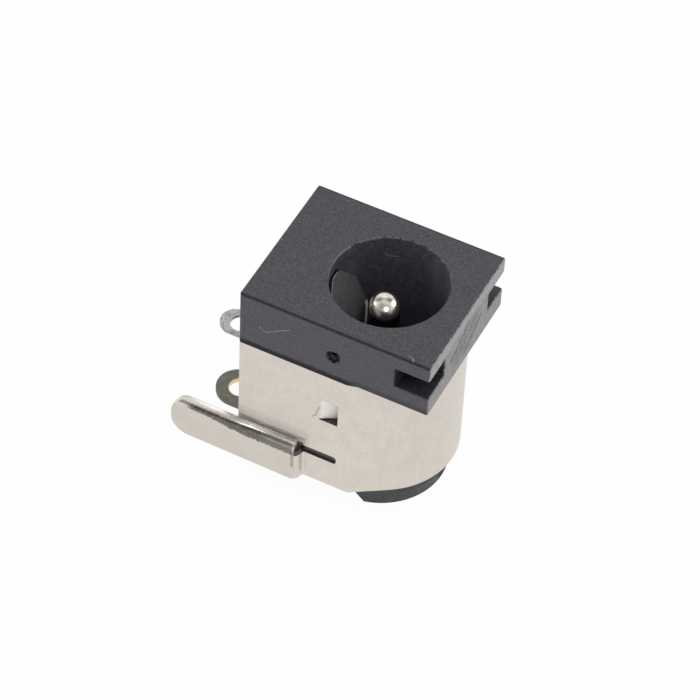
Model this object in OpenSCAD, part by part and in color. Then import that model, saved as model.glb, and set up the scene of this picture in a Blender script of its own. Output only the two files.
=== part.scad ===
// Board-mounted DC power socket: moulded body, folded shield, centre pin,
// sleeve spring contact and riveted pin terminal.
// Origin on the socket axis at the rear end. +Z leaves the mouth, -X is the board side.

/* [Moulding] */
// Length along the socket axis, rear end to front face
jack_len = 13.6; // [12.8:0.1:15]
// Front plate, from the board side to the far edge
flange_len = 11.1; // [10.6:0.05:12]
// Front plate, across
flange_w = 9; // [9:0.1:10]
// Front plate, thickness
flange_t = 3.65; // [3.4:0.05:4]
// Socket axis above the board edge
axis_height = 6.5; // [6.2:0.05:6.9]
// Bore of the socket
socket_d = 6.4; // [6:0.1:6.4]
// Depth of the socket
socket_depth = 9.5; // [9.3:0.1:9.9]
// Diameter of the rear boss
boss_d = 7.7; // [7:0.1:7.9]
// How far the rear boss stands out of the shield
boss_h = 1.05; // [1:0.05:1.4]

/* [Corner notches] */
// Length along the plate
notch_len = 2; // [1.5:0.1:2.2]
// Depth in from the side
notch_depth = 1.9; // [1.4:0.1:2]
// Height of the notch
notch_h = 1.3; // [1:0.05:1.4]
// Plate left in front of the notch
notch_cover = 1.05; // [0.9:0.05:1.3]

/* [Shield] */
// Sheet thickness
sheet_t = 0.3; // [0.25:0.01:0.3]
// Width over the shield
shield_w = 8.8; // [8.8:0.1:8.9]
// Length of the board legs below the board edge
leg_drop = 3.8; // [3:0.05:4.2]
// Outer face of a leg, out from the shield side
leg_offset = 0.6; // [0.55:0.05:0.8]
// Height of a leg's flat side, from the shield's rear edge
leg_flat = 2.25; // [2:0.05:2.3]
// Outer radius of the leg's folded edge
leg_fold_r = 0.5; // [0.4:0.05:0.55]
// Width of the slit that frees each leg
slit_w = 0.28; // [0.2:0.02:0.3]

/* [Contacts] */
// Diameter of the centre pin
pin_d = 1.65; // [1.3:0.05:2]
// Pin tip below the front face
pin_set_back = 1.2; // [0.8:0.05:1.5]
// Width of the spring contact
leaf_w = 3; // [2.6:0.1:3.2]
// Thickness of the spring contact
leaf_t = 0.25; // [0.2:0.01:0.28]
// Thickness of the pin terminal
plate_t = 0.35; // [0.3:0.01:0.4]

/* [Hidden] */
$fn = 96;
cut = 0.2;                                     // how far a cutter runs past a face
fit_gap = 0.01;                                // radial gap round the pressed pin

board_x = -axis_height;
far_x = flange_len - axis_height;
flange_z = jack_len - flange_t;                // rear face of the front plate
rear_wall_z = boss_h;                          // rear of the body and of the shield
bore_r = socket_d / 2;
floor_z = jack_len - socket_depth;
body_r = shield_w / 2 - sheet_t;               // body fills the shield
pin_r = pin_d / 2;
plate_edge_r = 0.15;                           // rounded corner on the board side
lower_edge_r = 0.15;                           // rounded corner behind the far notch
lip_t = 0.2;                                   // plate is this much thicker towards the board
lip_end_x = -0.1;
lip_ramp = 0.67;
gate_x = -0.96;
gate_z = jack_len - 2.03;
gate_r = 0.4;
gate_depth = 0.22;
gate_stub_r = 0.15;

// rear boss, spine and terminal channel
boss_start_x = 0.95;                            // where the boss ends towards the board
boss_ramp = 0.85;                              // length of its sloped ends
spine_w = 4.4;                                 // rib that carries the pin terminal
spine_x = board_x + 0.1;
terminal_r = 1.25;                             // half width of the pin terminal
terminal_gap = 0.05;
terminal_z = 0.05;                             // its rear face, just inside the boss
terminal_tip_x = -8.81;                        // centre of its rounded lug
terminal_hole_x = -8.66;
terminal_hole_r = 0.66;
tail_r = 0.6;                                  // staked tail of the pin
stake_r = 0.9;
stake_h = 0.25;
collar_r = 1.3;
collar_h = 0.5;

// spring contact
lug_plane_z = jack_len - 8;                    // middle of its flat plate
lug_r = 0.86;
lug_tip_x = -9.04;
lug_hole_x = -8.7;
lug_hole_r = 0.6;
base_w = 3.7;                                  // plate pressed into side grooves
base_out_x = board_x + 0.5;
base_in_x = -3.35;
base_groove = 0.02;                            // play round the plate in its grooves
pocket_w = leaf_w + 0.3;
pocket_top_z = jack_len - 0.9;
pocket_x = -4.7;                               // back of the space the spring moves in
leaf_tip_z = jack_len - 1.06;
tip_round_r = 0.75;
// face of the spring towards the pin: [x, depth behind the front face]
leaf_face = [[-3.12, 1.06], [-2.63, 2.33], [-2.12, 3.45], [-1.93, 3.72], [-1.85, 4.05],
             [-1.85, 5.4], [-1.93, 6], [-2.62, 7.3], [-2.85, 7.62], [-3.2, 7.85], [-3.6, 7.88]];

// shield cut-outs
side_y = shield_w / 2;
slit_z = jack_len - 10.5;                      // middle of the slit
slit_end_x = -0.56;
joggle_start_x = -2.4;
joggle_angle = 75;
joggle_in_r = 0.15;
joggle_out_r = joggle_in_r + sheet_t;
joggle_r_sum = joggle_in_r + joggle_out_r;
joggle_run = (leg_offset - joggle_r_sum * (1 - cos(joggle_angle))) / tan(joggle_angle);
joggle_end_x = joggle_start_x - joggle_r_sum * sin(joggle_angle) - joggle_run;
leg_end_x = board_x - leg_drop;
fold_over = 0.2;                               // how far the fold runs over the step
fold_end_t = 0.12;
leg_taper = 0.08;                              // how far the lower edge rises to the tip
leg_top_z = rear_wall_z + leg_flat;            // where the fold starts
window_x = -1.65;
window_l = 1.08;
window_z = jack_len - 7.5;
window_h = 1.6;
tab_in = 0.55;                                 // how far the tab's end is pushed in
wall_cut_z = leg_top_z + 0.1;                  // side wall above the leg starts here
edge_rise = 0.75;                              // round part of the rear edge, above the flat sides'
edge_rise_x = 2.6;                             // where the edge has risen
edge_rise_r = 4;

// flat sides, and a half round centred on the socket axis
module body_outline(r) {
    translate([board_x, -r]) square([axis_height, 2 * r]);
    circle(r);
}

module flange() {
    difference() {
        intersection() {
            translate([board_x, -flange_w / 2, flange_z - lip_t]) linear_extrude(flange_t + lip_t) flange_outline();
            plate_zone();
        }
        for (side = [-1, 1]) notch_cutter(side);
        lower_corner_cutter();
        gate_dimple();
    }
}

// square, but for one rounded corner on the board side
module flange_outline() {
    translate([plate_edge_r, 0]) square([flange_len - plate_edge_r, flange_w]);
    translate([0, plate_edge_r]) square([flange_len, flange_w - plate_edge_r]);
    translate([plate_edge_r, plate_edge_r]) circle(plate_edge_r);
}

// all that lies in front of the plate's stepped rear face
module plate_zone() {
    translate([0, flange_w, flange_z]) rotate([90, 0, 0]) linear_extrude(2 * flange_w)
        polygon([[board_x - cut, -lip_t], [lip_end_x, -lip_t], [lip_end_x + lip_ramp, 0],
                 [far_x + cut, 0], [far_x + cut, flange_t + cut], [board_x - cut, flange_t + cut]]);
}

// the moulding gate: a shallow round dimple with the broken stub in it
module gate_dimple() {
    translate([gate_x, -flange_w / 2, gate_z]) rotate([90, 0, 0]) difference() {
        translate([0, 0, -gate_depth]) cylinder(r = gate_r, h = gate_depth + cut);
        translate([0, 0, -gate_depth - cut]) cylinder(r = gate_stub_r, h = gate_depth + cut - 0.05);
    }
}

module notch_cutter(side) {
    y = side > 0 ? flange_w / 2 - notch_depth : -flange_w / 2 - cut;
    translate([far_x - notch_len, y, jack_len - notch_cover - notch_h])
        cube([notch_len + cut, notch_depth + cut, notch_h]);
}

// rounds the far corner of the plate's rear half
module lower_corner_cutter() {
    translate([far_x - lower_edge_r, flange_w / 2 - lower_edge_r, flange_z - cut])
        linear_extrude(jack_len - notch_cover - flange_z) difference() {
            square(lower_edge_r + cut);
            circle(lower_edge_r);
        }
}

// boss behind the body: round, with sloped ends towards the board
module boss() {
    intersection() {
        cylinder(r = boss_d / 2, h = boss_h + cut);
        rotate([90, 0, 0]) linear_extrude(boss_d, center = true)
            polygon([[boss_start_x, 0], [boss_d, 0], [boss_d, boss_h + cut], [boss_start_x - boss_ramp, boss_h + cut],
                     [boss_start_x - boss_ramp, boss_h]]);
    }
    translate([spine_x, -spine_w / 2, 0]) cube([boss_start_x + 1 - spine_x, spine_w, boss_h + cut]);
}

module terminal_outline(grow) {
    r = terminal_r + grow;
    circle(r);
    translate([terminal_tip_x, -r]) square([-terminal_tip_x, 2 * r]);
    translate([terminal_tip_x, 0]) circle(r);
}

module spring_pocket() {
    // space that the spring moves in, open to the board side
    translate([board_x - cut, -pocket_w / 2, lug_plane_z - leaf_t / 2])
        cube([cut - board_x - bore_r * 0.8, pocket_w, pocket_top_z - lug_plane_z + leaf_t / 2]);
    // grooves for the edges of its plate
    translate([board_x - cut, -base_w / 2 - base_groove, lug_plane_z - leaf_t / 2])
        cube([base_in_x - board_x + cut, base_w + 2 * base_groove, leaf_t + base_groove]);
}

module tab_pocket(side) {
    deep = tab_in + 0.15;
    y = side > 0 ? body_r - deep : -body_r - cut;
    translate([window_x, y, window_z]) cube([window_l, deep + cut, window_h]);
}

module housing() {
    color([0.17, 0.17, 0.18]) difference() {
        union() {
            flange();
            translate([0, 0, rear_wall_z]) linear_extrude(flange_z - rear_wall_z + cut) body_outline(body_r);
            boss();
        }
        translate([0, 0, floor_z]) cylinder(r = bore_r, h = socket_depth + cut);
        translate([0, 0, -cut]) cylinder(r = pin_r + fit_gap, h = floor_z + 2 * cut);
        translate([0, 0, -cut]) linear_extrude(terminal_z + plate_t + cut) terminal_outline(terminal_gap);
        spring_pocket();
        for (side = [-1, 1]) tab_pocket(side);
    }
}

// sheet of thickness t drawn from the points of its face, on the right of their run
module ribbon(face, t) {
    n = len(face);
    run = [for (i = [0:n - 1]) let (d = face[min(i + 1, n - 1)] - face[max(i - 1, 0)]) d / norm(d)];
    back = [for (i = [n - 1:-1:0]) face[i] + t * [run[i][1], -run[i][0]]];
    polygon(concat(face, back));
}

// points on an arc, from one angle to another
function arc(center, r, from, to, steps = 6) =
    [for (i = [0:steps]) let (a = from + (to - from) * i / steps) center + r * [cos(a), sin(a)]];

// outer face of a leg seen along the axis, with its step out from the shield's side
leg_face = concat(
    [[leg_end_x, side_y + leg_offset]],
    arc([joggle_end_x, side_y + leg_offset - joggle_out_r], joggle_out_r, 90, 90 - joggle_angle),
    arc([joggle_start_x, side_y + joggle_in_r], joggle_in_r, 270 - joggle_angle, 270),
    [[slit_end_x, side_y]]);

// leg seen from its side: rounded tip
module leg_side() {
    low_r = 1.05;
    top_r = 1.1;
    top = leg_top_z + leg_fold_r;
    hull() {
        translate([leg_end_x + low_r, rear_wall_z + leg_taper + low_r]) circle(low_r, $fn = 32);
        translate([leg_end_x + top_r, top - top_r]) circle(top_r, $fn = 32);
        translate([joggle_end_x, rear_wall_z]) square([slit_end_x - joggle_end_x, top - rear_wall_z]);
    }
}

module quarter_round(inner_r) {
    intersection() {
        difference() {
            circle(leg_fold_r);
            if (inner_r > 0) circle(inner_r);
        }
        square(leg_fold_r);
    }
}

module leg() {
    fold_len = joggle_end_x + fold_over - leg_end_x;
    intersection() {
        union() {
            translate([0, 0, rear_wall_z]) linear_extrude(slit_z - slit_w / 2 - rear_wall_z) ribbon(leg_face, sheet_t);
            translate([0, 0, rear_wall_z]) linear_extrude(leg_flat) intersection() {
                ribbon(leg_face, sheet_t);
                translate([leg_end_x, 0]) square([joggle_start_x - joggle_in_r - leg_end_x, flange_w]);
            }
            // the folded edge: a quarter round towards the shield, closed at its inner end
            translate([leg_end_x, side_y + leg_offset - leg_fold_r, leg_top_z]) rotate([90, 0, 90]) {
                linear_extrude(fold_len) quarter_round(leg_fold_r - sheet_t);
                translate([0, 0, fold_len - fold_end_t]) linear_extrude(fold_end_t) quarter_round(0);
            }
        }
        translate([0, flange_w, 0]) rotate([90, 0, 0]) linear_extrude(flange_w) leg_side();
    }
}

// takes the rear edge up round the shield's half round
module rear_edge_cutter() {
    translate([0, side_y + cut, rear_wall_z]) rotate([90, 0, 0]) linear_extrude(shield_w + 2 * cut) {
        translate([edge_rise_x, -cut]) square([side_y, edge_rise + cut]);
        intersection() {
            translate([edge_rise_x, edge_rise - edge_rise_r]) circle(edge_rise_r);
            translate([edge_rise_x - edge_rise_r, -cut]) square([edge_rise_r, edge_rise + cut]);
        }
    }
}

module shield_shell() {
    difference() {
        translate([0, 0, rear_wall_z]) linear_extrude(flange_z - rear_wall_z + cut) difference() {
            body_outline(side_y);
            translate([-cut, 0]) body_outline(body_r);
            body_outline(body_r);
        }
        for (side = [-1, 1]) {
            // slit, and the wall taken out for the leg
            translate([joggle_start_x, side * side_y - 1, slit_z - slit_w / 2])
                cube([slit_end_x - slit_w / 2 - joggle_start_x, 2, slit_w]);
            translate([slit_end_x - slit_w / 2, side * side_y + 1, slit_z])
                rotate([90, 0, 0]) cylinder(d = slit_w, h = 2);
            translate([board_x - cut, side * side_y - 1, rear_wall_z - cut])
                cube([joggle_start_x - board_x + cut, 2, wall_cut_z - rear_wall_z + cut]);
            translate([window_x, side * side_y - 1, window_z]) cube([window_l, 2, window_h]);
        }
        rear_edge_cutter();
        plate_zone();
    }
}

// locking tab cut from the side and pushed into the moulding
module lock_tab() {
    play = 0.06;
    translate([0, 0, window_z + play]) linear_extrude(window_h - 2 * play)
        polygon([[window_x, side_y], [window_x + window_l - play, side_y - tab_in],
                 [window_x + window_l - play, side_y - tab_in - sheet_t], [window_x, side_y - sheet_t]]);
}

module shield() {
    color([0.82, 0.79, 0.75]) {
        shield_shell();
        for (side = [0, 1]) mirror([0, side, 0]) {
            leg();
            lock_tab();
        }
    }
}

module center_pin() {
    shoulder_z = terminal_z + plate_t;
    ball_z = jack_len - pin_set_back - pin_r;
    color([0.8, 0.78, 0.72]) rotate_extrude() {
        translate([0, shoulder_z]) square([pin_r, ball_z - shoulder_z]);
        translate([0, floor_z]) square([collar_r, collar_h]);
        translate([0, terminal_z]) square([tail_r, plate_t]);
        translate([0, terminal_z]) polygon([[0, 0], [stake_r, 0], [tail_r, stake_h], [0, stake_h]]);
        translate([0, ball_z]) intersection() {
            circle(pin_r);
            square(pin_r);
        }
    }
}

module pin_terminal() {
    color([0.62, 0.62, 0.58]) translate([0, 0, terminal_z]) difference() {
        linear_extrude(plate_t) terminal_outline(0);
        translate([0, 0, -cut]) cylinder(r = tail_r, h = plate_t + 2 * cut);
        rotate_extrude() polygon([[0, -cut], [stake_r, -cut], [stake_r, 0], [tail_r, stake_h], [0, stake_h]]);
        translate([terminal_hole_x, 0, -cut]) cylinder(r = terminal_hole_r, h = plate_t + 2 * cut);
    }
}

// spring seen from the side
module leaf_side() {
    ribbon([for (p = leaf_face) [p[0], jack_len - p[1]]], leaf_t);
}

// spring seen from the pin: a tapered, rounded tip
module leaf_front() {
    hull() {
        translate([0, leaf_tip_z - tip_round_r]) circle(tip_round_r, $fn = 32);
        translate([-leaf_w / 2, lug_plane_z - 1]) square([leaf_w, leaf_tip_z - 1.25 - lug_plane_z + 1]);
    }
}

module sleeve_contact() {
    color([0.7, 0.69, 0.66]) {
        intersection() {
            rotate([90, 0, 0]) linear_extrude(leaf_w, center = true) leaf_side();
            translate([-6, 0, 0]) rotate([90, 0, 90]) linear_extrude(6) leaf_front();
        }
        translate([0, 0, lug_plane_z - leaf_t / 2]) linear_extrude(leaf_t) difference() {
            union() {
                translate([base_out_x, -base_w / 2]) square([base_in_x - base_out_x, base_w]);
                translate([lug_tip_x, -lug_r]) square([base_out_x - lug_tip_x + cut, 2 * lug_r]);
                translate([lug_tip_x, 0]) circle(lug_r);
            }
            translate([lug_hole_x, 0]) circle(lug_hole_r);
        }
    }
}

housing();
shield();
center_pin();
sleeve_contact();
pin_terminal();
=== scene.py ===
import math

import bmesh
import bpy
from mathutils import Matrix, Vector


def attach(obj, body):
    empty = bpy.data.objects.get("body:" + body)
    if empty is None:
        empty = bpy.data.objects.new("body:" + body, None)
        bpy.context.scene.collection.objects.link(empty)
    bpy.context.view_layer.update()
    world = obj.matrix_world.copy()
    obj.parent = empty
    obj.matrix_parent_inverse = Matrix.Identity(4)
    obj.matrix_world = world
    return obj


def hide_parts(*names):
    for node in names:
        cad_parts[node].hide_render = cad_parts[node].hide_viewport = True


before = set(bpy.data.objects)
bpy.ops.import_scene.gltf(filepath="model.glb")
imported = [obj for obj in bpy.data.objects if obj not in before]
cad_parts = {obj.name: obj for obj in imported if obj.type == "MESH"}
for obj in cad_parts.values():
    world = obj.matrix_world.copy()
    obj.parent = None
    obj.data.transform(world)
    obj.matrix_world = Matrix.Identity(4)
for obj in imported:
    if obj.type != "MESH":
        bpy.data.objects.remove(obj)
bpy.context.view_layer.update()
mm = 0.001
# how soft the border of a painted place is, in mm
soft = 0.02
# edges that turn less than the first angle stay as they are, and less than the second look smooth
brokenFrom = math.radians(31)
sharpFrom = math.radians(35)
# corners of a solid that lie closer together than this, in metres, are one
mergeDistance = 0.5e-6


class Value:
    # a socket that can be used in arithmetic: each operator adds its Math node
    def __init__(self, nodes, socket):
        self.nodes = nodes
        self.socket = socket

    def math(self, operation, *others):
        return self.nodes.node("Math", {"operation": operation}, [self, *others])

    def __add__(self, other):
        return self.math("ADD", other)

    def __radd__(self, other):
        return self.math("ADD", other)

    def __sub__(self, other):
        return self.math("SUBTRACT", other)

    def __rsub__(self, other):
        return self.nodes.node("Math", {"operation": "SUBTRACT"}, [other, self])

    def __mul__(self, other):
        return self.math("MULTIPLY", other)

    def __rmul__(self, other):
        return self.math("MULTIPLY", other)

    def __pow__(self, other):
        return self.math("POWER", other)

    def size(self):
        return self.math("ABSOLUTE")

    def most(self, other):
        return self.math("MAXIMUM", other)

    def least(self, other):
        return self.math("MINIMUM", other)

    def ramp(self, low, high, toLow=0.0, toHigh=1.0):
        return self.nodes.node("MapRange", {"clamp": True, "interpolation_type": "SMOOTHSTEP"},
                               [self, low, high, toLow, toHigh])

    def between(self, low, high, soft):
        return self.ramp(low - soft, low + soft) * self.ramp(high + soft, high - soft)


class Nodes:
    def __init__(self, tree):
        self.tree = tree

    def node(self, kind, settings, inputs, output=0):
        made = self.tree.nodes.new("ShaderNode" + kind)
        for key, value in settings.items():
            setattr(made, key, value)
        pairs = inputs.items() if isinstance(inputs, dict) else enumerate(inputs)
        for key, value in pairs:
            self.join(made.inputs[key], value)
        return Value(self, made.outputs[output])

    def join(self, socket, value):
        if isinstance(value, Value):
            self.tree.links.new(value.socket, socket)
        elif value is not None:
            socket.default_value = value

    def vector(self, operation, first, second, output=0):
        return self.node("VectorMath", {"operation": operation}, [first, second], output)


class Finish(Nodes):
    # a material whose patterns are laid out in millimetres in the part's own frame
    def __init__(self, name, **constants):
        self.material = bpy.data.materials.new(name)
        self.material.use_nodes = True
        super().__init__(self.material.node_tree)
        self.surface = self.tree.nodes["Principled BSDF"]
        for socketName, value in constants.items():
            self.surface.inputs[socketName.replace("_", " ")].default_value = value
        coordinates = self.node("TexCoord", {}, [], "Object")
        self.place = self.node("Mapping", {}, {"Vector": coordinates, "Scale": (1000, 1000, 1000)})
        split = self.node("SeparateXYZ", {}, [self.place])
        self.x, self.y, self.z = (Value(self, socket) for socket in split.socket.node.outputs)

    def noise(self, scale, detail=2.0, roughness=0.5, place=None):
        return self.node("TexNoise", {}, {"Vector": place or self.place, "Scale": scale, "Detail": detail,
                                          "Roughness": roughness})

    def stretched(self, scale):
        return self.node("Mapping", {}, {"Vector": self.place, "Scale": scale})

    def cells(self, perMm, output):
        return self.node("TexVoronoi", {}, {"Vector": self.place, "Scale": perMm, "Randomness": 1.0}, output)

    def specks(self, perMm, size):
        # round dots of this size, in the lighter cells only
        dots = self.cells(perMm, "Distance").ramp(size * perMm, size * perMm * 0.5)
        return dots * self.cells(perMm, "Color").ramp(0.6, 0.65)

    def fromAxis(self, centre=(0.0, 0.0)):
        # how far a point lies from an upright axis through this centre
        offsetX = self.x - centre[0]
        offsetY = self.y - centre[1]
        return (offsetX * offsetX + offsetY * offsetY) ** 0.5

    def mix(self, factor, first, second):
        made = self.node("Mix", {"data_type": "RGBA"}, {"Factor": factor})
        node = made.socket.node
        for socket, value in zip([s for s in node.inputs if s.type == "RGBA"], [first, second]):
            self.join(socket, value)
        return Value(self, [s for s in node.outputs if s.type == "RGBA"][0])

    def stroke(self, points, width, place=None, solid=0.3):
        # 1 along a line of points, and fading out to this half width
        nearest = None
        for start, end in zip(points, points[1:]):
            run = Vector(end) - Vector(start)
            fromStart = self.vector("SUBTRACT", place or self.place, start)
            share = self.vector("DOT_PRODUCT", fromStart, run / run.length_squared, "Value")
            share = share.most(0.0).least(1.0)
            foot = self.node("VectorMath", {"operation": "SCALE"}, {"Vector": run, "Scale": share})
            distance = self.vector("DISTANCE", fromStart, foot, "Value")
            nearest = distance if nearest is None else nearest.least(distance)
        return nearest.ramp(width, width * solid)

    def strokes(self, lines, width, solid=0.3):
        marks = None
        for line in lines:
            mark = self.stroke(line, width, solid=solid)
            marks = mark if marks is None else marks.most(mark)
        return marks

    def bump(self, height, distance, strength, normal=None):
        inputs = {"Height": height, "Distance": distance, "Strength": strength, "Normal": normal}
        return self.node("Bump", {}, inputs, "Normal")

    def done(self, **links):
        for key, value in links.items():
            self.join(self.surface.inputs[key.replace("_", " ")], value)
        return self.material


def tone(red, green=None, blue=None):
    return (red, red if green is None else green, red if blue is None else blue, 1)


def offAxis(point, centre):
    return math.hypot(point.x - centre[0] * mm, point.y - centre[1] * mm)


def smoothedRound(bm, centre, radius, step=3.0):
    # cuts the wall of a round along its axis every few degrees, and sets the cuts on the true radius
    def onWall(vert):
        return abs(offAxis(vert.co, centre) - radius * mm) < 0.004 * mm

    for turn in range(int(180 / step)):
        angle = math.radians(turn * step)
        upright = [face for face in bm.faces if abs(face.normal.z) < 0.02]
        wall = [face for face in upright if all(onWall(vert) for vert in face.verts)]
        edges = {edge for face in wall for edge in face.edges}
        verts = {vert for face in wall for vert in face.verts}
        cut = bmesh.ops.bisect_plane(bm, geom=wall + list(edges) + list(verts), dist=0.02 * mm,
                                     plane_co=(centre[0] * mm, centre[1] * mm, 0),
                                     plane_no=(-math.sin(angle), math.cos(angle), 0))
        for vert in cut["geom_cut"]:
            if isinstance(vert, bmesh.types.BMVert) and offAxis(vert.co, centre) > 0.9 * radius * mm:
                grow = radius * mm / offAxis(vert.co, centre)
                vert.co.x = centre[0] * mm + (vert.co.x - centre[0] * mm) * grow
                vert.co.y = centre[1] * mm + (vert.co.y - centre[1] * mm) * grow


def finished(bm, name, node, material, edges, isBroken=None):
    # breaks the sharp edges without leaving the solid's box, and puts the mesh in the solid's place
    lowest, highest = ([pick(vert.co[axis] for vert in bm.verts) for axis in range(3)] for pick in (min, max))
    sharp = []
    for edge in bm.edges:
        if len(edge.link_faces) != 2 or edge.calc_face_angle() < brokenFrom:
            continue
        middle = (edge.verts[0].co + edge.verts[1].co) / (2 * mm)
        if isBroken is None or isBroken(middle):
            sharp.append(edge)
    bmesh.ops.bevel(bm, geom=sharp, offset=edges["size"] * mm, offset_type="OFFSET", affect="EDGES",
                    segments=edges["segments"], profile=0.5, material=-1, clamp_overlap=False)
    for vert in bm.verts:
        vert.co = Vector(min(max(value, low), high) for value, low, high in zip(vert.co, lowest, highest))
    mesh = bpy.data.meshes.new(name)
    bm.to_mesh(mesh)
    bm.free()
    mesh.materials.clear()
    mesh.materials.append(material)
    mesh.shade_smooth()
    mesh.set_sharp_from_angle(angle=sharpFrom)
    piece = bpy.data.objects.new(name, mesh)
    bpy.context.scene.collection.objects.link(piece)
    normals = piece.modifiers.new("flatFaces", "WEIGHTED_NORMAL")
    normals.keep_sharp = True
    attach(piece, "root")
    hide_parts(node)
    print(name, len(mesh.polygons), "faces")


def refined(node, name, material, edges, isBroken=None):
    # a copy of a solid, merged, with its rounds cut finer
    bm = bmesh.new()
    bm.from_mesh(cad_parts[node].data)
    bmesh.ops.remove_doubles(bm, verts=bm.verts, dist=mergeDistance)
    bmesh.ops.dissolve_limit(bm, angle_limit=math.radians(0.5), verts=bm.verts, edges=bm.edges, delimit=set())
    for centre, radius in edges.get("rounds", []):
        smoothedRound(bm, centre, radius)
    finished(bm, name, node, material, edges, isBroken)


moulding = {
    # its edges stay sharp below plainZ, where the channel leaves narrow faces, and within plainR of the gate
    "edges": {"size": 0.1, "segments": 3, "rounds": [((0, 0), 3.2), ((0, 0), 3.85), ((0, 0), 4.1)],
              "plainZ": 1.3, "plainR": 0.6},
    "dark": tone(0.021, 0.019, 0.025), "light": tone(0.084, 0.078, 0.093), "deep": tone(0.012, 0.011, 0.013),
    # the bore's two tones paint light onto the plastic inside it
    "bore": tone(0.066, 0.063, 0.086), "boreLight": tone(0.25, 0.245, 0.29), "scuff": tone(0.33, 0.33, 0.34),
    "paintedSheen": tone(0.30, 0.29, 0.295), "paintedSheenLow": tone(0.165, 0.16, 0.162),
    "pitAndShade": tone(0.01), "crumb": tone(0.09), "line": tone(0.012),
    "frontZ": 13.6, "farX": 4.6, "sideY": 4.5, "boreR": 3.2, "boreFloorZ": 4.0,
    # the back of the plate is at the first height on the board side, and at the second on the far side
    "rearZ": (9.75, 9.95), "rearStepX": (-0.1, 0.57),
    "notch": {"fromX": 2.6, "fromY": 2.6, "low": 11.25, "high": 12.55},
    "pocket": {"halfY": 1.75, "fromX": -2.0, "toX": -6.48, "top": 12.7},
    "gate": (-0.96, -4.5, 11.57), "gateR": 0.4,
    # a painted reflection down the bore
    "boreReflection": [(1.36, 2.9, 13.2), (1.36, 2.9, 6.0)],
    # fine hairs of whitened plastic
    "hairs": [[(-5.27, -4.5, 11.65), (-5.2, -4.5, 11.52), (-5.11, -4.5, 11.43), (-4.88, -4.5, 11.41),
               (-4.3, -4.5, 11.79), (-3.53, -4.5, 12.29)],
              [(3.2, -4.19, 13.6), (3.31, -4.18, 13.6), (3.5, -4.27, 13.6), (3.56, -4.4, 13.6)],
              [(-1.56, 2.79, 12.33), (-1.46, 2.85, 12.17), (-1.22, 2.96, 12.16), (-0.92, 3.07, 12.15)]],
    # two fine dark lines on the far side, and the rubbed place between them
    "lines": [[(4.6, 0.07, 12.83), (4.6, -1.81, 11.61)], [(4.6, 1.63, 11.88), (4.6, -0.2, 10.68)]],
    "rubbed": [(4.6, 0.85, 12.35), (4.6, -1.0, 11.15)],
}


def litInsideMask(look, side, radius):
    # where light is painted: the bore, and the space behind the spring
    frontZ = moulding["frontZ"]
    boreR = moulding["boreR"]
    floorZ = moulding["boreFloorZ"]
    pocket = moulding["pocket"]
    bore = radius.ramp(boreR + soft, boreR - soft) * look.z.ramp(frontZ - 0.02, frontZ - 0.18)
    bore = bore * look.z.ramp(floorZ - 0.1, floorZ)
    behind = side.ramp(pocket["halfY"] + soft, pocket["halfY"] - soft)
    behind = behind * look.z.ramp(pocket["top"], pocket["top"] - soft)
    behind = behind * look.x.ramp(pocket["fromX"], pocket["fromX"] - 0.05)
    return bore.most(behind * look.x.ramp(pocket["toX"], pocket["toX"] + 0.08))


def notchShade(look, side):
    # little light gets into the notches, and least on the near side
    notch = moulding["notch"]
    shade = look.z.between(notch["low"] - 0.03, notch["high"] + 0.03, soft)
    shade = shade * side.ramp(notch["fromY"] - 0.05, notch["fromY"])
    shade = shade * look.x.ramp(notch["fromX"] - 0.05, notch["fromX"])
    return shade * look.y.ramp(-0.1, 0.1, 0.6, 0.2)


def plateShadeAndDarkening(look, side):
    # darker along the front edge of the sides, and painted shade where the plate meets the shield and along
    # the far side's rear edge
    stepX = moulding["rearStepX"]
    rearZ = moulding["rearZ"]
    fromEdge = (side - moulding["sideY"]).size().most((look.z - moulding["frontZ"]).size())
    ragged = look.noise(4, 3, 0.7).ramp(0.3, 0.7, -0.06, 0.06)
    seam = (look.z - look.x.ramp(stepX[0], stepX[1], rearZ[0], rearZ[1]) + ragged).ramp(0.55, 0.3)
    seam = seam * side.ramp(4.2, 4.3) * look.x.ramp(stepX[1], stepX[0], 0.4, 1.0)
    under = (look.z - rearZ[1] + ragged).ramp(0.2, 0.05) * look.x.ramp(4.4, 4.5) * look.y.ramp(-1.5, -3.0)
    return (fromEdge.ramp(0.19, 0.05) * 0.55).most(seam.most(under * 0.7) * 0.75)


def brokenGate(look):
    # a ragged pit painted dark as shade, and the grey crumbs in it
    gateR = moulding["gateR"]
    ragged = look.noise(5, 3, 0.7).ramp(0.3, 0.7, -0.12, 0.12)
    fromGate = look.vector("DISTANCE", look.place, moulding["gate"], "Value") + ragged
    crumbs = look.noise(6, 3, 0.7).ramp(0.5, 0.58) * fromGate.ramp(gateR, gateR - 0.1)
    return fromGate.ramp(gateR + 0.04, gateR - 0.04), crumbs


def whiteMarks(look, radius):
    # whitened hairs, dust, and nicks round the mouth
    mouthR = moulding["boreR"]
    frontZ = moulding["frontZ"]
    hairs = look.strokes(moulding["hairs"], 0.05) * look.noise(4, 3, 0.6).ramp(0.3, 0.6, 0.2, 0.65)
    dust = (look.specks(3.2, 0.045) * 0.3).most(look.specks(1.1, 0.045) * 0.6)
    rim = radius.between(mouthR - 0.02, mouthR + 0.05, soft) * look.z.ramp(frontZ - 0.15, frontZ - 0.1)
    worn = (look.y - look.x).ramp(0.5, 3.5, 0.0, 0.1) + look.noise(3, 3, 0.7)
    return hairs.most(dust).most(rim * worn.ramp(0.5, 0.6) * 0.42)


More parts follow.
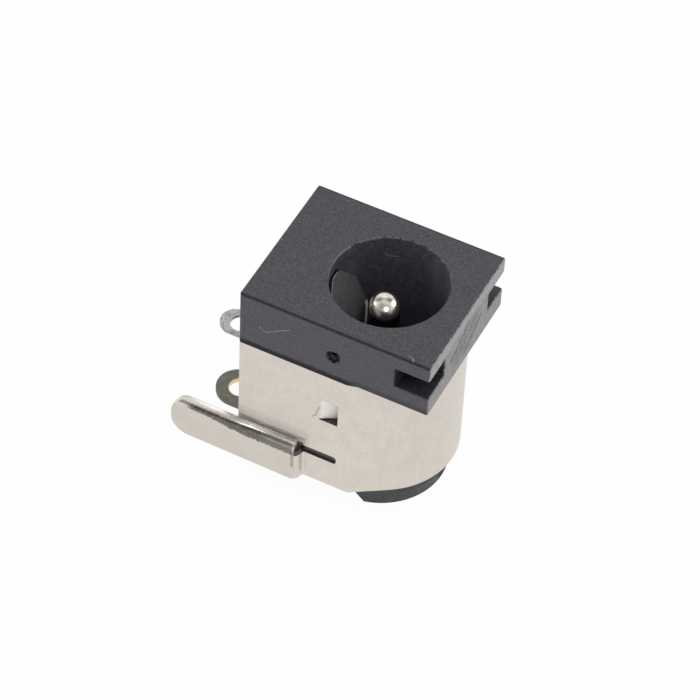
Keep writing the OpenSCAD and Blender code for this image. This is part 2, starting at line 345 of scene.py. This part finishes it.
def farSide(look):
    # a painted sheen, paler most of all along its front edge, and rubbed between its two lines
    farX = moulding["farX"]
    rubs = look.noise(5, 4, 0.75)
    farSheen = (look.x + rubs.ramp(0.3, 0.7, -0.03, 0.03)).ramp(farX - 0.07, farX - 0.03)
    sheenStrength = look.z.ramp(12.5, 13.1) * 0.75 + rubs.ramp(0.35, 0.65, -0.4, 0.55)
    color = look.mix(sheenStrength, moulding["paintedSheenLow"], moulding["paintedSheen"])
    between = look.stroke(moulding["rubbed"], 1.0, solid=0.0)
    return farSheen, look.mix(between * rubs.ramp(0.46, 0.56), color, moulding["dark"])


def mouldingFinish():
    look = Finish("blackMoulding", IOR=1.5)
    side = look.y.size()
    radius = look.fromAxis()
    fine = look.noise(10, 3, 0.75)
    broad = look.noise(2.4, 3, 0.6)
    grain = (fine * 0.62 + broad * 0.18 + look.cells(13, "Color") * 0.2).ramp(0.36, 0.64)
    # painted light and shade: the front face a little darker, and the sides a little lighter
    front = look.z.ramp(moulding["frontZ"] - 0.1, moulding["frontZ"] - 0.02)
    paintedSideLight = side.ramp(moulding["sideY"] - 0.08, moulding["sideY"] - 0.02) * (1.0 - front) * 0.3
    color = look.mix(grain * (1.0 - front * 0.14) + paintedSideLight, moulding["dark"], moulding["light"])
    litInside = litInsideMask(look, side, radius)
    boreReflection = look.stroke(moulding["boreReflection"], 0.45)
    # painted light in the bore, with a painted reflection down it
    litBoreColor = look.mix((grain * 0.5).most(boreReflection * 0.45), moulding["bore"], moulding["boreLight"])
    color = look.mix(litInside, color, litBoreColor)
    # painted shade in the notches, at the seam and on the far side's rear edge, and darker along the front
    # edge
    dull = (notchShade(look, side) * 0.9).most(plateShadeAndDarkening(look, side))
    color = look.mix(dull, color, moulding["deep"])
    pitAndShade, crumbs = brokenGate(look)
    color = look.mix(pitAndShade, color, look.mix(crumbs * 0.8, moulding["pitAndShade"], moulding["crumb"]))
    color = look.mix(whiteMarks(look, radius), color, moulding["scuff"])
    farSheen, farSheenColor = farSide(look)
    color = look.mix(farSheen * 0.95, color, farSheenColor)
    lines = look.strokes(moulding["lines"], 0.17, 0.5)
    color = look.mix(lines * 0.9, color, moulding["line"])
    # the far side is the glossiest, and the painted shade is rough
    rough = broad.ramp(0.3, 0.7, 0.5, 0.62) + fine.ramp(0.3, 0.7, -0.05, 0.05) - farSheen * 0.16 + litInside * 0.05
    height = fine * 0.6 + broad * 0.4 - lines * 1.5
    # the painted shade and the gate's pit are a dark metal, which gives back next to no light, as a deep gap
    # does
    return look.done(Base_Color=color, Roughness=rough + dull * 0.2, Metallic=dull.most(pitAndShade) * 0.85,
                     Normal=look.bump(height, 0.000012, 0.55))


def isMouldingBroken(middle):
    edges = moulding["edges"]
    return middle.z >= edges["plainZ"] and (middle - Vector(moulding["gate"])).length >= edges["plainR"]


refined("housing", "mouldedBody", mouldingFinish(), moulding["edges"], isMouldingBroken)


shield = {
    # its edges stay sharp below plainZ: the rear edge, the legs and their slits are cut too close to break
    "edges": {"size": 0.03, "segments": 2, "rounds": [((0, 0), 4.4), ((0, 0), 4.1)], "plainZ": 4},
    "warm": tone(0.735, 0.685, 0.605), "cool": tone(0.665, 0.615, 0.56), "mottleAndShade": tone(0.50, 0.465, 0.42),
    "darkReflectionAndRub": tone(0.085, 0.078, 0.07), "dimReflectionAndRub": tone(0.33, 0.295, 0.26), "pitAndShade": tone(0.25, 0.21, 0.17),
    "gap": tone(0.062, 0.047, 0.04), "deepGap": tone(0.01), "tab": tone(0.95, 0.93, 0.89),
    "bright": tone(0.97, 0.96, 0.95), "roughness": 0.37,
    "sideY": 4.4, "legY": 5.0, "foldZ": 3.3, "foldX": -2.83,
    "slit": [(-2.5, -4.4, 3.22), (-0.78, -4.4, 3.24)], "slitHalf": 0.27,
    "window": {"low": 6.1, "high": 7.7, "fromX": -1.65, "toX": -0.57},
    "creaseShade": [(-1.62, -4.4, 7.1), (-1.78, -4.4, 6.75), (-1.85, -4.4, 6.35), (-2.05, -4.4, 6.15)],
}


def sheetColor(look, cloud, drawn, fine):
    # warm and cool clouds, with the scratches and pits of the drawn sheet
    color = look.mix((cloud * 0.7 + drawn * 0.3).ramp(0.36, 0.64), shield["cool"], shield["warm"])
    color = look.mix(fine.ramp(0.4, 0.75, 0.0, 0.4), color, shield["mottleAndShade"])
    scratches = look.noise(6, 2, 0.5, look.stretched((3.0, 3.0, 0.12))).ramp(0.62, 0.72)
    color = look.mix(scratches * 0.12, color, shield["pitAndShade"])
    color = look.mix(look.specks(1.3, 0.045) * 0.8, color, shield["pitAndShade"])
    # painted shade: darker towards the far side of the round
    color = look.mix(look.x.ramp(2.0, 4.2) * 0.14, color, shield["mottleAndShade"])
    # painted shade along the crease beside the tab's window
    return look.mix(look.stroke(shield["creaseShade"], 0.05) * 0.7, color, shield["pitAndShade"])


def foldedEdge(look, side, color):
    # a streaked band over its foot, partly rubbed and partly a painted dark reflection, a painted highlight
    # on the crest, painted dark reflections along its top, painted shade in the gap by the wall, and a
    # painted highlight on its end
    along = look.x
    endX = shield["foldX"]
    fold = side.ramp(4.46, 4.5) * along.ramp(endX, endX - soft)
    comb = look.noise(4, 3, 0.7, look.stretched((3.5, 1, 0.6)))
    hatch = look.noise(5, 3, 0.8, look.stretched((4.5, 1.0, 1.0)))
    lined = look.noise(5, 3, 0.7, look.stretched((0.3, 3.2, 3.2)))
    foot = along.ramp(-8.4, -5.6, 0.05, -0.27) + comb.ramp(0.3, 0.7, -0.09, 0.09)
    crestY = along.ramp(-6.6, -4.8, 4.87, 4.8) + comb.ramp(0.3, 0.7, -0.02, 0.02)
    # painted dark reflection over the foot, partly rubbed
    reflectedBand = fold * (look.z - shield["foldZ"] - foot).ramp(-0.03, 0.03) * along.ramp(-9.6, -8.9)
    reflectedBand = reflectedBand * (side - crestY).ramp(-soft, soft)
    streaks = along.ramp(-5.4, -4.2, 0.1, 0.75) * look.z.ramp(3.42, 3.5, 0.35, 1.0)
    reflectedBandColor = look.mix(streaks + hatch.ramp(0.45, 0.75, -0.1, 0.5), shield["darkReflectionAndRub"], shield["dimReflectionAndRub"])
    color = look.mix(reflectedBand * hatch.ramp(0.35, 0.65, 1.0, 0.8), color, reflectedBandColor)
    top = fold * look.z.ramp(3.6, 3.66)
    crest = top * (side - crestY).ramp(soft, -soft)
    # painted highlight on the crest, broken up in places
    crestHighlight = crest * along.ramp(-7.5, -5.2, 0.1, 0.9) * hatch.ramp(0.35, 0.65, 1.0, 0.3)
    color = look.mix(crestHighlight, color, shield["bright"])
    color = look.mix(crest * hatch.ramp(0.5, 0.75) * 0.5, color, shield["dimReflectionAndRub"])
    # painted dark reflections along the top
    upperReflection = top * side.ramp(4.67, 4.62) * along.ramp(-7.2, -5.6, 0.45, 0.85)
    color = look.mix(upperReflection * lined.ramp(0.36, 0.56, 1.0, 0.3), color, shield["dimReflectionAndRub"])
    # painted shade in the gap between the fold's top and the wall
    line = side.between(4.37, 4.43, 0.01) * look.z.between(3.84, 4.02, 0.04) * along.ramp(-2.3, -2.5)
    color = look.mix(line * lined.ramp(0.4, 0.6, 0.75, 0.2), color, shield["pitAndShade"])
    # painted highlight on its end
    endHighlight = fold * along.ramp(endX - 0.1, endX - 0.06) * look.z.ramp(3.1, 3.75, 0.15, 0.6)
    return look.mix(endHighlight, color, shield["bright"]), fold, reflectedBand


def sheetGapShade(look, side):
    # painted shade: the slit, the lower edge of the tab's window, and the end of the fold are painted dark
    window = shield["window"]
    sideY = shield["sideY"]
    endX = shield["foldX"]
    mirrored = look.node("CombineXYZ", {}, [look.x, side * -1.0, look.z])
    slit = look.stroke(shield["slit"], shield["slitHalf"], mirrored, 0.85)
    lower = look.z.between(window["low"] - 0.03, window["low"] + 0.05, 0.01)
    lower = lower * look.x.between(window["fromX"] - 0.03, window["toX"] + 0.03, soft)
    lower = lower * side.ramp(sideY - 0.01, sideY - 0.03)
    end = look.x.between(endX + 0.01, endX + 0.45, 0.01) * look.z.between(2.93, 3.84, 0.01)
    return slit.most(lower).most(end * side.ramp(sideY + 0.02, sideY + 0.06) * 0.95)


def frontSeamShadow(look):
    # painted shadow where the sheet meets the plate, which is stepped
    boardSide = look.z.ramp(9.68, 9.74) * look.x.ramp(0.0, -0.3)
    farSide = look.z.ramp(9.9, 9.95) * look.x.ramp(0.3, 0.6)
    return farSide.most(boardSide) * look.noise(4, 3, 0.7).ramp(0.35, 0.6)


def shieldFinish():
    look = Finish("platedSheet")
    side = look.y.size()
    window = shield["window"]
    sideY = shield["sideY"]
    cloud = look.noise(0.9, 4, 0.6)
    drawn = look.noise(4.0, 4, 0.65, look.stretched((2.2, 2.2, 0.2)))
    fine = look.noise(8, 3, 0.7)
    color, fold, reflectedBand = foldedEdge(look, side, sheetColor(look, cloud, drawn, fine))
    gaps = sheetGapShade(look, side)
    gapColor = look.mix(side.ramp(sideY - 0.02, sideY - 0.005) * 0.6, shield["gap"], shield["deepGap"])
    color = look.mix(gaps, color, gapColor)
    color = look.mix(frontSeamShadow(look) * 0.6, color, shield["pitAndShade"])
    # painted highlight: the pushed-in tab is lighter and less metallic
    tab = side.ramp(sideY - 0.01, sideY - 0.07)
    tab = tab * look.x.between(window["fromX"] + 0.02, window["toX"] - 0.02, soft)
    tab = tab * look.z.between(window["low"] + 0.08, window["high"], soft)
    color = look.mix(tab * 0.9, color, shield["tab"])
    # the wall beside the fold is duller, and so is the flat of the leg
    near = look.z.ramp(4.9, 4.4) * look.z.ramp(3.6, 3.7) * side.between(sideY - 0.04, sideY + 0.02, 0.01)
    near = near * look.x.ramp(-2.0, -2.5)
    flat = side.ramp(shield["legY"] - 0.06, shield["legY"] - 0.02) * look.z.ramp(3.32, 3.28) * (1.0 - reflectedBand)
    color = look.mix(flat * 0.35, color, shield["mottleAndShade"])
    rough = shield["roughness"] + cloud.ramp(0.3, 0.7, -0.04, 0.05) + drawn.ramp(0.3, 0.7, -0.03, 0.03)
    rough = rough - fold * 0.18 + tab * 0.15
    relief = cloud * 0.7 + drawn * 0.3 + fine * 0.12
    return look.done(Base_Color=color, Roughness=rough, Metallic=1.0 - near * 0.85 - gaps * 0.7 - tab * 0.5,
                     Normal=look.bump(relief, 0.00002, 0.4))


def isShieldBroken(middle):
    return middle.z >= shield["edges"]["plainZ"]


refined("shield", "foldedShield", shieldFinish(), shield["edges"], isShieldBroken)


pin = {
    # radius and height along its outline, from the riveted end to the start of the ball
    "outline": [(0.0, 0.05), (0.9, 0.05), (0.6, 0.3), (0.6, 0.4), (0.825, 0.4), (0.825, 4.1), (1.3, 4.1),
                (1.3, 4.6), (0.825, 4.6), (0.825, 11.575)],
    "ballR": 0.825, "ballSteps": 20, "turnSteps": 96,
    "lean": -0.2, "leanFrom": 4.6,
    "edges": {"size": 0.03, "segments": 2},
    "bright": tone(0.80, 0.75, 0.68), "worn": tone(0.52, 0.47, 0.40), "dim": tone(0.10, 0.095, 0.09),
    "paintedHighlight": tone(1.0, 0.97, 0.92),
    # where highlights are painted on the ball
    "rubbed": [[(-0.56, -0.51, 12.11), (-0.40, -0.70, 11.97), (-0.19, -0.80, 11.78)],
               [(0.35, 0.00, 12.19), (0.39, -0.22, 12.10), (0.37, -0.48, 11.93)]],
    "darkReflectionArc": [(-0.56, -0.40, 12.20), (-0.19, -0.21, 12.37), (0.24, -0.03, 12.27)],
    # how much its tip is shaded flatter than a ball
    "flatter": 0.32,
}


def pinFinish():
    look = Finish("brightPin")
    cloud = look.noise(2.2, 3, 0.6)
    rings = look.noise(6, 2, 0.5, look.stretched((0.4, 0.4, 3)))
    ball = look.z.ramp(11.2, 11.6)
    color = look.mix(cloud.ramp(0.4, 0.7), pin["bright"], pin["worn"])
    # a painted dark reflection across the ball
    color = look.mix(look.stroke(pin["darkReflectionArc"], 0.2, solid=0.1) * 0.8, color, pin["dim"])
    # painted highlights on the ball, lighter and less metallic
    paintedHighlight = look.strokes(pin["rubbed"], 0.26, 0.05)
    color = look.mix(paintedHighlight, color, pin["paintedHighlight"])
    upward = look.node("CombineXYZ", {}, [0.0, 0.0, ball * pin["flatter"]])
    flatter = look.vector("ADD", look.node("NewGeometry", {}, [], "Normal"), upward)
    flatter = look.vector("NORMALIZE", flatter, None)
    # painted shade: the shaft below the ball is dark
    return look.done(Base_Color=look.mix(ball, pin["dim"], color), Metallic=1.0 - paintedHighlight * 0.5,
                     Roughness=0.13 + rings.ramp(0.4, 0.7, 0.0, 0.06),
                     Normal=look.bump(rings, 0.000006, 0.4, flatter))


def turnedPin():
    # the outline, with its ball, turned round the axis
    bm = bmesh.new()
    points = list(pin["outline"])
    ballZ = points[-1][1]
    for step in range(1, pin["ballSteps"] + 1):
        angle = math.pi / 2 * step / pin["ballSteps"]
        points.append((pin["ballR"] * math.cos(angle), ballZ + pin["ballR"] * math.sin(angle)))
    points[-1] = (0.0, points[-1][1])
    chain = [bm.verts.new((radius * mm, 0, height * mm)) for radius, height in points]
    run = [bm.edges.new(pair) for pair in zip(chain, chain[1:])]
    bmesh.ops.spin(bm, geom=chain + run, axis=(0, 0, 1), cent=(0, 0, 0), angle=math.tau,
                   steps=pin["turnSteps"], use_merge=True)
    bmesh.ops.remove_doubles(bm, verts=bm.verts, dist=mergeDistance)
    bmesh.ops.recalc_face_normals(bm, faces=bm.faces)
    for vert in bm.verts:
        # the free length leans a little towards the board
        share = (vert.co.z / mm - pin["leanFrom"]) / (ballZ - pin["leanFrom"])
        vert.co.x += pin["lean"] * mm * max(0.0, share)
    finished(bm, "contactPin", "center_pin", pinFinish(), pin["edges"])


turnedPin()


spring = {
    "edges": {"size": 0.02, "segments": 2},
    "dull": tone(0.30, 0.305, 0.325), "dim": tone(0.19, 0.195, 0.205), "plate": tone(0.42, 0.41, 0.405),
    "dark": tone(0.27, 0.265, 0.265), "shorn": tone(0.95, 0.9, 0.8), "rim": tone(0.04),
    "hole": (-8.7, 0.0), "holeR": 0.6,
    # the way that the shorn edge faces, as if it were rounded over towards the mouth
    "edgeFacing": (0.34, -0.43, 0.83, 1),
}


def springFinish():
    look = Finish("dullSpring")
    cloud = look.noise(5, 4, 0.75)
    lug = look.x.ramp(-6.2, -6.6)
    base = look.mix(cloud.ramp(0.3, 0.7), spring["dull"], spring["dim"])
    plate = look.mix(look.noise(5, 4, 0.7).ramp(0.42, 0.62), spring["plate"], spring["dark"])
    color = look.mix(lug, base, plate)
    # a painted highlight on the shorn edge on the far side, below the crest
    edgeHighlight = look.y.between(1.22, 1.6, 0.03) * look.x.ramp(-2.25, -2.15) * look.z.between(7.4, 9.85, 0.08)
    color = look.mix(edgeHighlight, color, spring["shorn"])
    # the edge round its tip is dark
    rim = (look.z * -0.386 + 1.72 - look.x).ramp(0.03, 0.07) * look.z.ramp(10.2, 10.4)
    color = look.mix(rim, color, spring["rim"])
    rounded = look.mix(edgeHighlight, look.node("NewGeometry", {}, [], "Normal"), spring["edgeFacing"])
    radius = look.fromAxis(spring["hole"])
    shorn = radius.ramp(spring["holeR"] + 0.035, spring["holeR"] + 0.015) * lug
    color = look.mix(shorn, color, spring["shorn"])
    return look.done(Base_Color=color, Metallic=0.6 + lug * 0.4 + edgeHighlight * 0.4 - shorn * 0.7,
                     Roughness=cloud.ramp(0.3, 0.7, 0.3, 0.42),
                     Normal=look.bump(cloud, 0.00001, 0.5, rounded))


refined("sleeve_contact", "springContact", springFinish(), spring["edges"])


terminal = {
    "edges": {"size": 0.03, "segments": 2},
    "dull": tone(0.125, 0.121, 0.1), "light": tone(0.185, 0.18, 0.155), "dust": tone(0.6),
    "brass": tone(0.75, 0.58, 0.3),
    "hole": (-8.66, 0.0), "holeR": 0.66,
}


def terminalFinish():
    look = Finish("dullTerminal", Metallic=1.0)
    cloud = look.noise(3.0, 4, 0.65)
    color = look.mix(cloud.ramp(0.35, 0.7), terminal["dull"], terminal["light"])
    color = look.mix(look.specks(2.5, 0.04), color, terminal["dust"])
    radius = look.fromAxis(terminal["hole"])
    shorn = radius.ramp(terminal["holeR"] + 0.035, terminal["holeR"] + 0.015)
    color = look.mix(shorn, color, terminal["brass"])
    return look.done(Base_Color=color, Roughness=cloud.ramp(0.3, 0.7, 0.38, 0.5) - shorn * 0.15,
                     Normal=look.bump(cloud, 0.00001, 0.5))


refined("pin_terminal", "flatTerminal", terminalFinish(), terminal["edges"])


studio = {
    "floorSize": 4.0, "floorZ": -0.00002, "floorColor": 0.98, "floorGlow": 0.965,
    "roomLevel": 0.95, "darkLevel": 0.42, "darkSide": (0.36, -0.86, 0.36), "aimZ": 7,
    # name, direction, distance, size, brightness as seen from the part
    "lamps": [("overhead", (-0.2, 0.35, 0.9), 0.30, 0.16, 0.8),
              ("behind", (0.62, 0.50, 0.58), 0.35, 0.18, 1.9),
              ("left", (-0.85, -0.25, 0.5), 0.35, 0.12, 2.4),
              ("front", (0.45, -0.50, 0.82), 0.26, 0.13, 1.9)],
}


def buildFloor():
    bm = bmesh.new()
    bmesh.ops.create_grid(bm, x_segments=1, y_segments=1, size=studio["floorSize"] / 2)
    mesh = bpy.data.meshes.new("floor")
    bm.to_mesh(mesh)
    bm.free()
    floor = bpy.data.objects.new("floor", mesh)
    floor.location.z = studio["floorZ"]
    bpy.context.scene.collection.objects.link(floor)
    look = Finish("paleFloor", Base_Color=tone(studio["floorColor"]), Roughness=0.9)
    path = look.node("LightPath", {}, [], "Is Camera Ray").socket.node
    seen = Value(look, path.outputs["Is Camera Ray"]).most(Value(look, path.outputs["Is Glossy Ray"]))
    seen = seen.most(Value(look, path.outputs["Is Transmission Ray"])) * studio["floorGlow"]
    glow = look.node("Emission", {}, {"Color": tone(1.0), "Strength": 1.0})
    both = look.node("MixShader", {}, [seen, Value(look, look.surface.outputs[0]), glow])
    look.join(look.tree.nodes["Material Output"].inputs["Surface"], both)
    mesh.materials.append(look.material)


def buildRoom():
    # an even room that is darker on the side that the part is seen from
    world = bpy.data.worlds.new("room")
    world.use_nodes = True
    bpy.context.scene.world = world
    room = Nodes(world.node_tree)
    direction = room.node("TexCoord", {}, [], "Generated")
    facing = room.vector("DOT_PRODUCT", direction, Vector(studio["darkSide"]).normalized(), "Value")
    level = facing.ramp(0.15, 0.75, studio["roomLevel"], studio["darkLevel"])
    shade = room.node("CombineXYZ", {}, [level, level, level])
    room.join(world.node_tree.nodes["Background"].inputs["Color"], shade)


def buildLamps():
    for name, direction, distance, size, brightness in studio["lamps"]:
        lamp = bpy.data.lights.new(name, "AREA")
        lamp.shape = "DISK"
        lamp.size = size
        lamp.energy = brightness * math.pi * math.pi * size * size / 4
        holder = bpy.data.objects.new(name, lamp)
        back = Vector(direction).normalized()
        holder.location = Vector((0, 0, studio["aimZ"] * mm)) + back * distance
        holder.rotation_mode = "QUATERNION"
        holder.rotation_quaternion = back.to_track_quat("Z", "Y")
        bpy.context.scene.collection.objects.link(holder)


view = {"azimuth": 24.774, "elevation": 48.396, "roll": 3.029, "distance": 0.1904,
        "target": (-0.000289, -0.003877, 0.011886), "lens": 188.21}


def buildCamera():
    azimuth, elevation, roll = (math.radians(view[key]) for key in ("azimuth", "elevation", "roll"))
    back = Vector((math.sin(azimuth) * math.cos(elevation), -math.cos(azimuth) * math.cos(elevation),
                   math.sin(elevation)))
    level = Vector((math.cos(azimuth), math.sin(azimuth), 0))
    upright = back.cross(level)
    right = level * math.cos(roll) + upright * math.sin(roll)
    up = upright * math.cos(roll) - level * math.sin(roll)
    data = bpy.data.cameras.new("camera")
    data.sensor_width = 36
    data.lens = view["lens"]
    data.clip_start = 0.005
    data.clip_end = 20
    camera = bpy.data.objects.new("camera", data)
    camera.matrix_world = Matrix((
        (right.x, up.x, back.x, 0), (right.y, up.y, back.y, 0), (right.z, up.z, back.z, 0), (0, 0, 0, 1)))
    camera.location = Vector(view["target"]) + back * view["distance"]
    bpy.context.scene.collection.objects.link(camera)
    bpy.context.scene.camera = camera


buildFloor()
buildRoom()
buildLamps()
buildCamera()
bpy.context.scene.view_settings.view_transform = "Standard"
print("studio ready")
